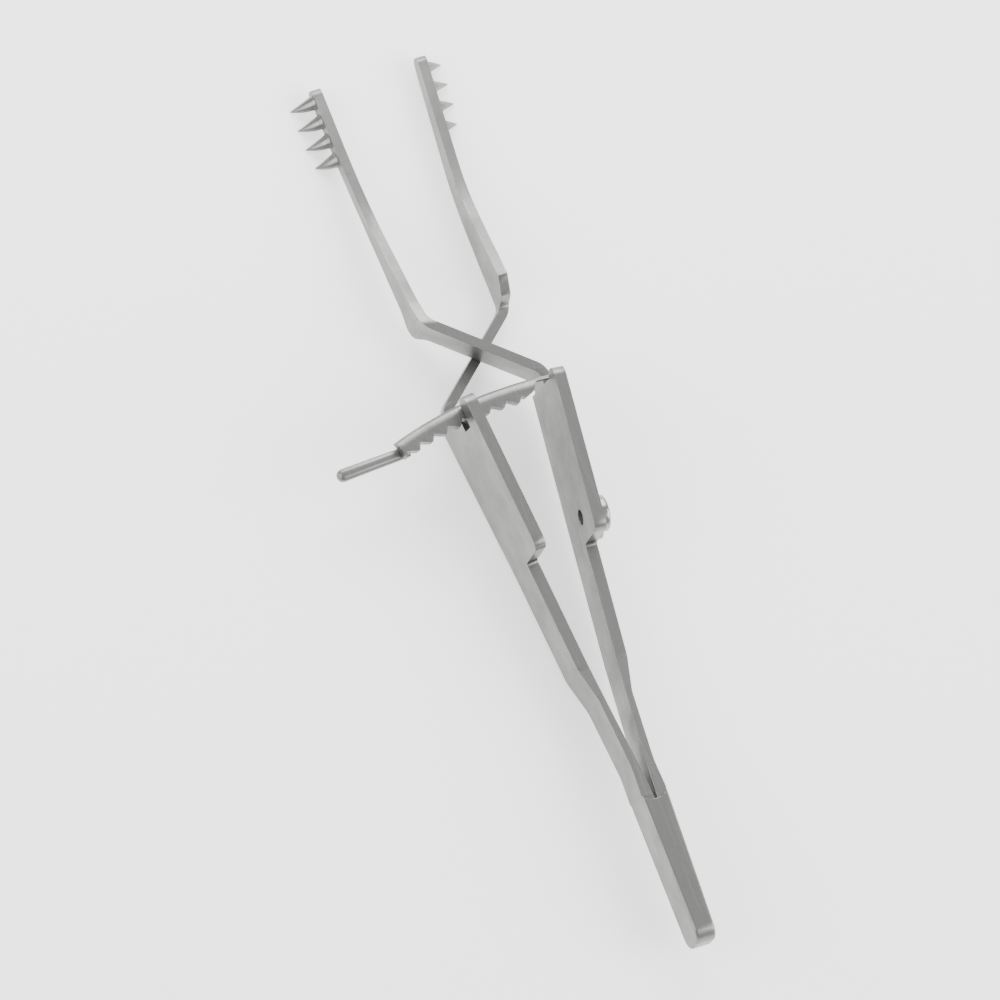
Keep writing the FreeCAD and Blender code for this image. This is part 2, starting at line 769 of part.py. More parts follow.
def ribbon(sketch, middle, width):
    """Draw a band of constant width along a line of corners, with concentric rounding."""
    points = [FreeCAD.Vector(number(c.x), number(c.y), 0) for c in middle]
    half = number(width) / 2
    count = len(points)
    guides = []
    for i in range(count - 1):
        guide = sketch.addGeometry(Part.LineSegment(points[i], points[i + 1]), True)
        guides.append(guide)
        place_point(sketch, guide, 1, middle[i].x, middle[i].y)
        if i:
            constrain(sketch, Sketcher.Constraint("Coincident", guides[i - 1], 2, guide, 1))
    place_point(sketch, guides[-1], 2, middle[-1].x, middle[-1].y)
    rows = {}
    for hand in (1, -1):
        offsets = []
        for i in range(count - 1):
            run = (points[i + 1] - points[i]).normalize()
            offsets.append((FreeCAD.Vector(-run.y, run.x, 0) * (half * hand), run))
        corner_points = [points[0] + offsets[0][0]]
        for i in range(1, count - 1):
            first, second = offsets[i - 1][0], offsets[i][0]
            total = first + second
            scale = 2 * half ** 2 / total.dot(total)
            corner_points.append(points[i] + total * scale)
        corner_points.append(points[-1] + offsets[-1][0])
        arrive = list(corner_points)
        leave = list(corner_points)
        turns = [0] * count
        radii = [0.0] * count
        for i in range(1, count - 1):
            middle_radius = number(middle[i].radius)
            cross = (offsets[i - 1][1].x * offsets[i][1].y
                     - offsets[i - 1][1].y * offsets[i][1].x)
            inward = 1 if cross * hand > 0 else -1
            radii[i] = middle_radius - inward * half
            arrive[i], leave[i], turns[i] = rounding(
                corner_points[i - 1], corner_points[i], corner_points[i + 1], radii[i])
        sides = []
        for i in range(count - 1):
            line = sketch.addGeometry(Part.LineSegment(leave[i], arrive[i + 1]), False)
            constrain(sketch, Sketcher.Constraint("Parallel", guides[i], line))
            gap = Sketcher.Constraint("Distance", line, 1, guides[i], half)
            constrain(sketch, gap, f"{width} / 2")
            sides.append(line)
        for i in range(1, count - 1):
            blend = sketch.addGeometry(
                arc_between(arrive[i], leave[i], radii[i], turns[i]), False)
            enters, leaves = (1, 2) if turns[i] > 0 else (2, 1)
            constrain(sketch, Sketcher.Constraint("Tangent", sides[i - 1], 2, blend, enters))
            constrain(sketch, Sketcher.Constraint("Tangent", blend, leaves, sides[i], 1))
            sign = "-" if radii[i] < number(middle[i].radius) else "+"
            constrain(sketch, Sketcher.Constraint("Radius", blend, radii[i]),
                      f"{middle[i].radius} {sign} {width} / 2")
        rows[hand] = sides
    for guide, place, sign in ((guides[0], 1, 0), (guides[-1], 2, -1)):
        left = rows[1][sign]
        right = rows[-1][sign]
        cap = sketch.addGeometry(Part.LineSegment(
            sketch.getPoint(left, place), sketch.getPoint(right, place)), False)
        constrain(sketch, Sketcher.Constraint("Coincident", cap, 1, left, place))
        constrain(sketch, Sketcher.Constraint("Coincident", cap, 2, right, place))
        constrain(sketch, Sketcher.Constraint("Perpendicular", cap, guide))
        constrain(sketch, Sketcher.Constraint("PointOnObject", guide, place, cap))


def build_cross_bar(arm, label, top, bottom):
    """Build the bar that leads from a plate across the instrument to the other side."""
    body = pivot_body(label)
    plate_middle = f"(-({arm.hand}) * (plate_offset - plate_thickness / 2))"
    lean = f"{arm.hand} * limb_angle"
    outline = add_sketch(body, f"{label}_outline", "XY_Plane")
    ribbon(outline, [
        Corner(*turned(plate_middle, "plate_end_station", lean)),
        Corner(*turned(plate_middle, f"(plate_end_station + {arm.name}_root_run)", lean),
               radius="cross_root_rounding"),
        Corner(*arm.bend(), radius="cross_bend_rounding"),
        Corner(*arm.root()),
    ], "bar_thickness")
    pad(body, outline, f"{label}_pad", BLANK_DEPTH, both_ways=True)
    level_cut(body, label, top, bottom)
    return body


def build_rake_arm(arm, label, root_bottom, rake_bottom):
    """Build the arm that carries a rake, deep at its root and shallow along the claws."""
    body = pivot_body(label)
    outline = add_sketch(body, f"{label}_outline", "XY_Plane")
    ribbon(outline, [
        Corner(*arm.root()),
        Corner(*arm.waist(), radius="arm_bend_rounding"),
        Corner(*arm.tip()),
    ], "bar_thickness")
    pad(body, outline, f"{label}_pad", BLANK_DEPTH, both_ways=True)
    near = "arm_station - bar_thickness"
    far = "arm_tip_station + bar_thickness"
    end = "arm_tip_station"
    middle = "(arm_tip_top_level + arm_tip_bottom_level) / 2"
    level_cut(body, label, [
        Corner(near, "arm_root_top_level"),
        Corner("arm_station", "arm_root_top_level"),
        Corner("slope_end_station", "slope_end_level", radius="slope_end_rounding"),
        Corner(end, "arm_tip_top_level", radius="arm_end_rounding"),
        Corner(end, middle),
        Corner(far, middle),
    ], [
        Corner(near, root_bottom),
        Corner("arm_station", root_bottom),
        Corner("rake_station", rake_bottom),
        Corner(end, "arm_tip_bottom_level", radius="arm_end_rounding"),
        Corner(end, middle),
        Corner(far, middle),
    ])
    return body


def build_claw(arm, label, index):
    """Build one claw: a horn that leaves the arm's outer face and drops to a sharp tip."""
    body = doc.addObject("PartDesign::Body", label)
    body.Label = label
    station = f"(first_claw_station - {index} * claw_pitch)"
    angle = arm.rake_angle()
    face = f"{arm.rake_x(station)} + {arm.hand} * bar_thickness / 2 / cos({angle})"
    turn = FreeCAD.Rotation(FreeCAD.Vector(0, 0, -arm.hand), number(angle))
    body.Placement = FreeCAD.Placement(FreeCAD.Vector(0, 0, 0), turn)
    body.setExpression("Placement.Rotation.Angle", bound(angle))
    body.setExpression("Placement.Base.x", bound(face))
    body.setExpression("Placement.Base.y",
                       bound(f"butt_length / 2 + pivot_station + {station}"))
    body.setExpression("Placement.Base.z", bound("butt_depth / 2 + claw_level"))
    half_tip = "claw_tip_width / 2"
    profile = add_sketch(body, f"{label}_profile", "XZ_Plane")
    closed_outline(profile, [
        Corner("0", "-claw_half_height", arc="claw_belly_radius", turn=1),
        Corner("claw_reach", f"-claw_drop - {half_tip}"),
        Corner("claw_reach", f"-claw_drop + {half_tip}", arc="claw_back_radius", turn=1),
        Corner("0", "claw_half_height"),
    ], arm.hand)
    pad(body, profile, f"{label}_pad", "claw_width", both_ways=True)
    plan = add_sketch(body, f"{label}_plan", "XY_Plane")
    wide = "claw_width / 2"
    for hand in (1, -1):
        closed_outline(plan, [
            Corner("0", f"{hand} * {wide}", arc="claw_flank_radius", turn=-hand),
            Corner("claw_reach", f"{hand} * {half_tip}"),
            Corner("claw_reach + claw_width", f"{hand} * {half_tip}"),
            Corner("claw_reach + claw_width", f"{hand} * claw_width"),
            Corner("0", f"{hand} * claw_width"),
        ], arm.hand)
    cut_through(body, plan, f"{label}_grind")
    return body


def build_all():
    """Build every piece and return the bodies in the order of assembly."""
    over_top = [
        Corner("plate_end_station - bar_thickness", "cross_top_level"),
        Corner("left_bend_station", "cross_top_level", radius="cross_bend_rounding"),
        Corner("arm_station", "arm_root_top_level"),
        Corner("arm_station + bar_thickness", "arm_root_top_level"),
    ]
    over_bottom = [
        Corner("plate_end_station - bar_thickness", "cross_bottom_level"),
        Corner("left_bend_station - 1.2 * bar_thickness", "cross_bottom_level",
               radius="bar_thickness / 2"),
        Corner("left_bend_station - bar_thickness / 2", "knee_level",
               radius="knee_rounding"),
        Corner("arm_station", "arm_root_bottom_level"),
        Corner("arm_station + bar_thickness", "arm_root_bottom_level"),
    ]
    under_top = [
        Corner("plate_end_station - bar_thickness", "under_top_level"),
        Corner("right_bend_station + bar_thickness / 3", "under_top_level",
               radius="bar_thickness / 2"),
        Corner("right_bend_station + bar_thickness", "(under_top_level + arm_root_top_level) / 2",
               radius="bar_thickness / 2"),
        Corner("arm_station", "arm_root_top_level"),
        Corner("arm_station + bar_thickness", "arm_root_top_level"),
    ]
    under_bottom = [
        Corner("plate_end_station - bar_thickness", "under_bottom_level"),
        Corner("arm_station", "under_bottom_level"),
        Corner("arm_station + bar_thickness", "under_bottom_level"),
    ]
    bodies = [
        build_butt(),
        build_leaf(LEFT, "left_leaf_spring", "left_leaf_level"),
        build_leaf(RIGHT, "right_leaf_spring", "right_leaf_level"),
        build_plate(LEFT, "left_grip_plate", "left_leaf_level", "left_toe_level", notched=True),
        build_plate(RIGHT, "right_grip_plate", "right_leaf_level", "right_toe_level",
                    notched=False),
        build_cross_bar(RIGHT_RAKE, "lower_cross_bar", under_top, under_bottom),
        build_cross_bar(LEFT_RAKE, "upper_cross_bar", over_top, over_bottom),
        build_rake_arm(RIGHT_RAKE, "right_rake_arm", "under_bottom_level",
                       "arm_tip_bottom_level"),
        build_rake_arm(LEFT_RAKE, "left_rake_arm", "arm_root_bottom_level",
                       "rake_bottom_level"),
        build_ratchet_bar(),
        build_ratchet_spring(),
        build_thumb_tab(),
        build_screw(),
    ]
    for index in range(DIMENSIONS["claw_count"]):
        bodies.append(build_claw(LEFT_RAKE, f"left_rake_claw_{index + 1}", index))
        bodies.append(build_claw(RIGHT_RAKE, f"right_rake_claw_{index + 1}", index))
    return bodies


def check(bodies):
    """Stop if any object failed or any piece is not one valid solid."""
    for item in doc.Objects:
        if "Invalid" in item.State or "Error" in item.State:
            raise ValueError(f"{item.Name} has state {item.State}")
    for body in bodies:
        shape = body.Shape
        if shape.isNull() or not shape.isValid() or len(shape.Solids) != 1:
            raise ValueError(f"{body.Label} is not one valid solid")


pieces = build_all()
doc.recompute()
check(pieces)
os.makedirs("parts", exist_ok=True)
for piece in pieces:
    piece.Shape.exportStep(f"parts/{piece.Label}.step")
print(f"{len(pieces)} pieces written")
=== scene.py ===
import json
import logging
import math
from dataclasses import dataclass
from enum import Enum
from typing import Any, Optional

import bmesh
import bpy
import numpy as np
from mathutils import Matrix, Vector
from mathutils.bvhtree import BVHTree

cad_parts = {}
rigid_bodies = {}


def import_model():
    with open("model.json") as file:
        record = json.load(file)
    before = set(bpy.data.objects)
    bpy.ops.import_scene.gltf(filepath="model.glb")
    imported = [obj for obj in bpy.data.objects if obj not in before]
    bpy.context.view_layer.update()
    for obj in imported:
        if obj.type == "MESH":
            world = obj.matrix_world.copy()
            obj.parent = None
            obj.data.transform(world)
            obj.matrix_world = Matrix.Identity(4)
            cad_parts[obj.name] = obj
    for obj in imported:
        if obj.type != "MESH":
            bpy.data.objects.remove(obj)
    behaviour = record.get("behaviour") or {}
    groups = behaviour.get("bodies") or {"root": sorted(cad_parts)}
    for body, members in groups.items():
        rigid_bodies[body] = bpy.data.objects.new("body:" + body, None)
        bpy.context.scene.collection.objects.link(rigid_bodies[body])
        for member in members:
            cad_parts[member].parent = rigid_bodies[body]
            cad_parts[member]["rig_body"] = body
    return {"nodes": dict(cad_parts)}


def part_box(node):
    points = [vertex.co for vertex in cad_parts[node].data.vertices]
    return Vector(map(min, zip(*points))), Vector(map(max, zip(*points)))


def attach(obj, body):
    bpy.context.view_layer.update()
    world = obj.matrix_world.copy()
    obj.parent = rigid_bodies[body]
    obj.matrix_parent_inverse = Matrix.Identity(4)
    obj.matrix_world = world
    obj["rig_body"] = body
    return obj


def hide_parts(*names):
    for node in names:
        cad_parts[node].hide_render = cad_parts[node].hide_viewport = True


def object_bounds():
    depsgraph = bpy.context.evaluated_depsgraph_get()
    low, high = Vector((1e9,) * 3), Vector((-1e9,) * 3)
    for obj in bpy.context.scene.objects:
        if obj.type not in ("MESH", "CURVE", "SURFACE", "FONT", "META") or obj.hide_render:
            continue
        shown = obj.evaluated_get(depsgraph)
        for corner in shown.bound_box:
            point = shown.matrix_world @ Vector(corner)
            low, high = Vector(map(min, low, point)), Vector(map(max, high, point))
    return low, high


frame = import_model()
CAD_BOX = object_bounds()

# Self retaining retractor: blasted steel limbs that cross into clawed rakes, held by a ratchet.
# Lengths are metres, in the row frame: X across, Y from the butt to the claws, Z up.

MM = 0.001
MERGE = 0.001 * MM
JOINT_LINE = 0.045 * MM
STATIONS = 160
FACE_WEIGHT = 80
FLAT_ANGLE = math.radians(0.5)
CORNER_ANGLE = math.radians(35)
SHADING_ANGLE = math.radians(22)
log = logging.getLogger("retractor")


class Slot(Enum):
    """Material slots of the record."""

    SATIN = "satin_steel"
    GROUND = "ground_steel"
    SCREW = "screw_steel"


def linear(colour: str) -> tuple[float, float, float, float]:
    """Turn an sRGB hex colour into linear values.

    Args:
        colour: Six hex digits after a hash sign.

    Returns:
        Red, green, blue and an opacity of one.
    """
    values = np.array([int(colour[i:i + 2], 16) for i in (1, 3, 5)]) / 255
    bright = ((values + 0.055) / 1.055) ** 2.4
    mixed = np.where(values <= 0.04045, values / 12.92, bright)
    return (*map(float, mixed), 1.0)


def add_node(tree: bpy.types.NodeTree, kind: str, settings: Optional[dict[str, Any]] = None,
             inputs: Optional[dict[Any, Any]] = None) -> bpy.types.Node:
    """Add one node with its settings and links.

    Args:
        tree: The node tree that gets the node.
        kind: The node's type name.
        settings: Attributes of the node.
        inputs: Sockets by name or index, each with a value or an output socket to link.

    Returns:
        The new node.
    """
    node = tree.nodes.new(kind)
    for name, value in (settings or {}).items():
        setattr(node, name, value)
    for name, value in (inputs or {}).items():
        if isinstance(value, bpy.types.NodeSocket):
            tree.links.new(value, node.inputs[name])
        else:
            node.inputs[name].default_value = value
    return node


@dataclass(frozen=True)
class SteelFinish:
    """Stainless instrument steel, whose surface treatment sets grain, sheen and colour.

    Attributes:
        name: The finish in a maker's words.
        pale: Colour of the clean metal.
        dark: Colour of the faint clouds where the blasting is deeper.
        cloud_mm: Width of those clouds.
        grain_mm: Width of one grain of the surface.
        grain_depth_mm: Depth of the grain.
        stretch: How far grains are drawn out along Y, as grinding marks are.
        roughness: Mean roughness.
        roughness_swing: How far roughness moves with the clouds.
        rubbed: Colour of the metal along hairline scratches.
        hairline_mm: Distance between hairlines.
        hairline_share: How strongly they show.
        hairline_scale: Scale of their noise along X, Y and Z; less is drawn out more.
        hairline_turn: Their angle to the Y axis in degrees.
        hairline_limits: Noise values between which a hairline comes in.
        cloud_limits: Noise values of the darkest and the palest cloud.
        sheen_limits: Noise values of the roughest and the smoothest cloud.
        speck: How strongly the grain shows in the colour.
        groove: How deep a hairline of full strength cuts, as a share of the grain's depth.
        bump: Strength of the relief.
    """

    name: str
    pale: str
    dark: str
    cloud_mm: float
    grain_mm: float
    grain_depth_mm: float
    stretch: float
    roughness: float
    roughness_swing: float
    rubbed: str = "#A4A4A1"
    hairline_mm: float = 0.35
    hairline_share: float = 0.22
    hairline_scale: tuple[float, float, float] = (1.0, 0.025, 0.6)
    hairline_turn: float = 4.0
    hairline_limits: tuple[float, float] = (0.56, 0.68)
    cloud_limits: tuple[float, float] = (0.3, 0.68)
    sheen_limits: tuple[float, float] = (0.3, 0.7)
    speck: float = 0.25
    groove: float = 0.6
    bump: float = 0.5

    def build(self) -> bpy.types.Material:
        """Build the finish as a node material on object coordinates.

        Returns:
            The material.
        """
        material = bpy.data.materials.new(self.name)
        material.use_nodes = True
        tree = material.node_tree
        tree.nodes.clear()
        place = add_node(tree, "ShaderNodeTexCoord")
        clouds = add_node(tree, "ShaderNodeTexNoise", inputs={
            "Vector": place.outputs["Object"], "Scale": 1 / (self.cloud_mm * MM),
            "Detail": 4.0, "Roughness": 0.55})
        along = add_node(tree, "ShaderNodeMapping", {"vector_type": "POINT"}, {
            "Vector": place.outputs["Object"], "Scale": (1.0, 1 / self.stretch, 1.0)})
        grain = add_node(tree, "ShaderNodeTexNoise", inputs={
            "Vector": along.outputs["Vector"], "Scale": 1 / (self.grain_mm * MM),
            "Detail": 2.0, "Roughness": 0.6})
        shade = add_node(tree, "ShaderNodeValToRGB", inputs={"Fac": clouds.outputs["Fac"]})
        low, high = shade.color_ramp.elements
        low.position, high.position = self.cloud_limits
        low.color, high.color = linear(self.dark), linear(self.pale)
        speck = add_node(tree, "ShaderNodeMixRGB", {"blend_type": "SOFT_LIGHT"}, {
            "Fac": self.speck, "Color1": shade.outputs["Color"], "Color2": grain.outputs["Color"]})
        drawn = add_node(tree, "ShaderNodeMapping", {"vector_type": "POINT"}, {
            "Vector": place.outputs["Object"], "Scale": self.hairline_scale,
            "Rotation": (0.0, 0.0, math.radians(self.hairline_turn))})
        hairlines = add_node(tree, "ShaderNodeTexNoise", inputs={
            "Vector": drawn.outputs["Vector"], "Scale": 1 / (self.hairline_mm * MM),
            "Detail": 3.0, "Roughness": 0.7})
        rubbed = add_node(tree, "ShaderNodeMapRange", {"interpolation_type": "SMOOTHSTEP"}, {
            "Value": hairlines.outputs["Fac"], "From Min": self.hairline_limits[0],
            "From Max": self.hairline_limits[1], "To Min": 0.0,
            "To Max": self.hairline_share})
        worn = add_node(tree, "ShaderNodeMixRGB", {"blend_type": "MIX"}, {
            "Fac": rubbed.outputs["Result"], "Color1": speck.outputs["Color"],
            "Color2": linear(self.rubbed)})
        dull = add_node(tree, "ShaderNodeMapRange", inputs={
            "Value": clouds.outputs["Fac"], "From Min": self.sheen_limits[0],
            "From Max": self.sheen_limits[1],
            "To Min": self.roughness + self.roughness_swing,
            "To Max": self.roughness - self.roughness_swing})
        sheen = add_node(tree, "ShaderNodeMath", {"operation": "MULTIPLY_ADD"}, {
            0: rubbed.outputs["Result"], 1: -self.roughness_swing * 2,
            2: dull.outputs["Result"]})
        relief = add_node(tree, "ShaderNodeMath", {"operation": "MULTIPLY_ADD"}, {
            0: rubbed.outputs["Result"], 1: -self.groove, 2: grain.outputs["Fac"]})
        bump = add_node(tree, "ShaderNodeBump", inputs={
            "Height": relief.outputs["Value"], "Strength": self.bump,
            "Distance": self.grain_depth_mm * MM})
        shader = add_node(tree, "ShaderNodeBsdfPrincipled", inputs={
            "Base Color": worn.outputs["Color"], "Roughness": sheen.outputs["Value"],
            "Normal": bump.outputs["Normal"], "Metallic": 1.0})
        add_node(tree, "ShaderNodeOutputMaterial", inputs={"Surface": shader.outputs["BSDF"]})
        return material


# Bead-blasted stainless steel: an even, pearly grey with dimples of about 0.08 mm, drawn at
# 0.16 mm so that they show.
SATIN = SteelFinish("bead_blasted_stainless", "#868684", "#757573", 4.5, 0.16, 0.006, 1.0,
                    0.36, 0.05)
# The same steel on the softened corners: smoother, as blasting and handling polish them, and
# paler, a painted highlight along every edge.
EDGE = SteelFinish("polished_and_highlit_corner_stainless", "#A0A09D", "#90908D", 3.0, 0.12, 0.002, 3.0,
                   0.24, 0.04)
# Ground stainless steel of the claws: fine marks about 0.05 mm apart, drawn at 0.1 mm.
GROUND = SteelFinish("ground_stainless", "#868684", "#767674", 2.0, 0.1, 0.004, 4.0, 0.3, 0.05)
# Turned and tumbled stainless steel of the screw: brighter, with soft tool marks.
TURNED = SteelFinish("turned_stainless", "#A3A3A1", "#8C8C8A", 1.6, 0.12, 0.003, 1.0, 0.22, 0.05)


@dataclass(frozen=True)
class Crown:
    """Rounded upper outer side of a bar along an arc.

    Attributes:
        centre_mm: X and Y of the arc's centre.
        radius_mm: Mean radius of the arc.
        width_mm: How far the crown reaches in from the outer side.
        height_mm: How far it drops at the outer side.
        cuts: Number of cuts along the arc within the crown.
        first_cut: Place of the outermost of them, as a share of the crown's width.
        cut_mm: Distance between the cuts across it.
    """

    centre_mm: tuple[float, float] = (0.0, 10.75)
    radius_mm: float = 48.0
    width_mm: float = 1.3
    height_mm: float = 0.75
    cuts: int = 12
    first_cut: float = 0.04
    cut_mm: float = 0.6


@dataclass(frozen=True)
class Dressing:
    """How the pieces of one sub-assembly are finished.

    Attributes:
        surface: Finish of the faces.
        corner: Finish of the softened corners.
        slot: Material slot of the record.
        corner_mm: Width of the softened corners.
        steps: Facets across a softened corner.
        cut_mm: Distance between cuts across the piece, which keep its shading even, or 0.
        ease_mm: How far bends along the piece are eased, or 0 to keep them.
        keep_mm: Length at both ends that keeps its place.
        crown: Rounded side of a bar along an arc, or None.
    """

    surface: bpy.types.Material
    corner: bpy.types.Material
    # slot: Material slot of the record; not used.
    slot: Slot
    corner_mm: float = 0.16
    steps: int = 3
    cut_mm: float = 0.0
    ease_mm: float = 0.0
    keep_mm: float = 1.5
    crown: Optional[Crown] = None


def surface_tree(names: list[str]) -> Optional[BVHTree]:
    """Return a search tree over the faces of some CAD nodes.

    Args:
        names: The CAD nodes' names.

    Returns:
        The tree, or None where there are no nodes.
    """
    points: list[Vector] = []
    faces: list[tuple[int, ...]] = []
    for name in names:
        mesh = frame["nodes"][name].data
        start = len(points)
        points.extend(v.co.copy() for v in mesh.vertices)
        faces.extend(tuple(start + i for i in p.vertices) for p in mesh.polygons)
    return BVHTree.FromPolygons(points, faces) if faces else None


def ease_bends(mesh: bpy.types.Mesh, keep_mm: float, blend_mm: float) -> None:
    """Round off the bends of a bar that runs along Y, as a hammer does.

    The bar's lowest and highest X and Z at a row of stations are averaged along Y with a
    bell curve. Each point moves by the difference between the averaged and the first
    values, shared out by how high and how far across it lies. The move fades to nothing
    within keep_mm of both ends, so that the ends still meet what they met.

    Args:
        mesh: The bar's mesh, with enough cuts across to bend smoothly.
        keep_mm: Length at each end over which the move fades out.
        blend_mm: Width of the bell curve.
    """
    points = np.empty(len(mesh.vertices) * 3)
    mesh.vertices.foreach_get("co", points)
    points = points.reshape(-1, 3)
    ends = np.empty(len(mesh.edges) * 2, int)
    mesh.edges.foreach_get("vertices", ends)
    first, last = points[ends[0::2]], points[ends[1::2]]
    low, high = points[:, 1].min(), points[:, 1].max()
    stations = np.linspace(low, high, STATIONS)[1:-1]
    across = (first[:, 1] - stations[:, None]) * (last[:, 1] - stations[:, None]) <= 0
    span = np.where(last[:, 1] == first[:, 1], 1.0, last[:, 1] - first[:, 1])
    share = np.clip((stations[:, None] - first[:, 1]) / span, 0, 1)
    bell = np.exp(-((stations[:, None] - stations) / (blend_mm * MM)) ** 2)
    inside = np.minimum(stations - low, high - stations)
    fade = np.clip(inside / (keep_mm * MM), 0, 1)
    fade = fade * fade * (3 - 2 * fade)
    reach = np.minimum(inside, 2 * blend_mm * MM)
    bell *= np.abs(stations[:, None] - stations) <= reach[:, None]
    bell /= bell.sum(1, keepdims=True)
    for axis in (0, 2):
        cut = first[:, axis] + share * (last[:, axis] - first[:, axis])
        bottom = np.where(across, cut, np.inf).min(1)
        top = np.where(across, cut, -np.inf).max(1)
        lift_bottom = fade * (bell @ bottom - bottom)
        lift_top = fade * (bell @ top - top)
        y = points[:, 1]
        base, roof = np.interp(y, stations, bottom), np.interp(y, stations, top)
        height = np.clip((points[:, axis] - base) / (roof - base), 0, 1)
        points[:, axis] += ((1 - height) * np.interp(y, stations, lift_bottom)
                            + height * np.interp(y, stations, lift_top))
    mesh.vertices.foreach_set("co", points.ravel())
    mesh.update()


def crown_arc(form: bmesh.types.BMesh, crown: Crown) -> None:
    """Give a bar that runs along an arc a rounded upper outer side.

    Points are turned into arc length, radius and height, cut along lines of equal radius and
    of equal angle, and turned back. Between them, where s is the share of the crown's width
    that a point lies outwards, the surface drops by 1 - sqrt(1 - s * s) times the crown's
    height; points lower in the bar drop less, in proportion to their height in it.

    Args:
        form: The bar's mesh, which is changed.
        crown: The arc's centre and the crown's sizes.
    """
    centre = np.array(crown.centre_mm) * MM

    def to_polar(point: Vector) -> Vector:
        """Turn a point into arc length, radius and height."""
        x, y = point.x - centre[0], point.y - centre[1]
        radius = math.hypot(x, y)
        return Vector((math.atan2(x, y) * crown.radius_mm * MM, radius, point.z))

    for vertex in form.verts:
        vertex.co = to_polar(vertex.co)
    spots = np.array([vertex.co for vertex in form.verts])
    outer, low, high = spots[:, 1].max(), spots[:, 2].min(), spots[:, 2].max()
    width, step = crown.width_mm * MM, crown.cut_mm * MM
    cuts = [((0, outer - width * share, 0), (0, 1, 0))
            for share in np.linspace(crown.first_cut, 1, crown.cuts)]
    cuts += [((length, 0, 0), (1, 0, 0))
             for length in np.arange(spots[:, 0].min() + step, spots[:, 0].max(), step)]
    for place, normal in cuts:
        bmesh.ops.bisect_plane(form, geom=[*form.verts, *form.edges, *form.faces],
                               plane_co=place, plane_no=normal)
    for vertex in form.verts:
        length, radius, level = vertex.co
        share = min(max((radius - outer + width) / width, 0), 1)
        drop = (1 - math.sqrt(1 - share * share)) * crown.height_mm * MM
        level -= drop * (level - low) / (high - low)
        angle = length / (crown.radius_mm * MM)
        vertex.co = (centre[0] + radius * math.sin(angle),
                     centre[1] + radius * math.cos(angle), level)


def soften(node: str, neighbours: list[str], dressing: Dressing) -> bpy.types.Object:
    """Make the visible piece of a CAD node, with its sharp corners softened.

    The node's triangles are merged into flat faces, and every outward corner is replaced by
    a round of corner_mm in steps facets. Edges that lie on a neighbour's surface are the
    joint lines of one forging and stay as they are, so that no groove shows there.

    Args:
        node: The CAD node that the piece stands for.
        neighbours: CAD nodes of the same forging that it meets.
        dressing: The finishes and the corners' width.

    Returns:
        The new piece, riding on the node's body.
    """
    source = frame["nodes"][node]
    tree = surface_tree(neighbours)
    form = bmesh.new()
    form.from_mesh(source.data)
    bmesh.ops.remove_doubles(form, verts=form.verts, dist=MERGE)
    bmesh.ops.dissolve_limit(form, angle_limit=FLAT_ANGLE, verts=form.verts,
                             edges=form.edges)
    form.normal_update()

    def on_neighbour(point: Vector) -> bool:
        """Tell whether a point lies on a neighbour's surface."""
        return tree is not None and tree.find_nearest(point, JOINT_LINE)[0] is not None

    sharp = [
        edge for edge in form.edges
        if edge.is_manifold and edge.is_convex
        and edge.calc_face_angle(0.0) > CORNER_ANGLE
        and not all(on_neighbour(v.co) for v in edge.verts)
    ]
    # The rounds take slot 1, the corner finish; on the satin pieces it is painted paler as a
    # highlight.
    bmesh.ops.bevel(form, geom=sharp, offset=dressing.corner_mm * MM, offset_type="OFFSET",
                    segments=dressing.steps, profile=0.5, affect="EDGES",
                    clamp_overlap=True, material=1, loop_slide=True)
    if dressing.crown:
        crown_arc(form, dressing.crown)
    if dressing.cut_mm:
        low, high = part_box(node)
        cut = dressing.cut_mm * MM
        for level in np.arange(low.y + cut, high.y - cut / 2, cut):
            bmesh.ops.bisect_plane(form, geom=[*form.verts, *form.edges, *form.faces],
                                   plane_co=(0, level, 0), plane_no=(0, 1, 0))
    mesh = bpy.data.meshes.new(f"{node}_soft")
    form.to_mesh(mesh)
    form.free()
    if dressing.ease_mm:
        ease_bends(mesh, dressing.keep_mm, dressing.ease_mm)
    mesh.materials.append(dressing.surface)
    mesh.materials.append(dressing.corner)
    mesh.shade_smooth()
    mesh.set_sharp_from_angle(angle=SHADING_ANGLE)
    return stand_for(node, mesh)


def stand_for(node: str, mesh: bpy.types.Mesh) -> bpy.types.Object:
    """Put a mesh in a CAD node's place.

    Normals are weighted by face area, so that flat faces stay flat up to their corners.

    Args:
        node: The CAD node that the mesh stands for.
        mesh: The mesh, in the row frame.

    Returns:
        The new piece, riding on the node's body.
    """
    piece = bpy.data.objects.new(f"{node}_finished", mesh)
    bpy.context.scene.collection.objects.link(piece)
    weighted = piece.modifiers.new("flat_faces", "WEIGHTED_NORMAL")
    weighted.mode = "FACE_AREA"
    weighted.weight = FACE_WEIGHT
    weighted.keep_sharp = True
    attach(piece, frame["nodes"][node]["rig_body"])
    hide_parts(node)
    return piece


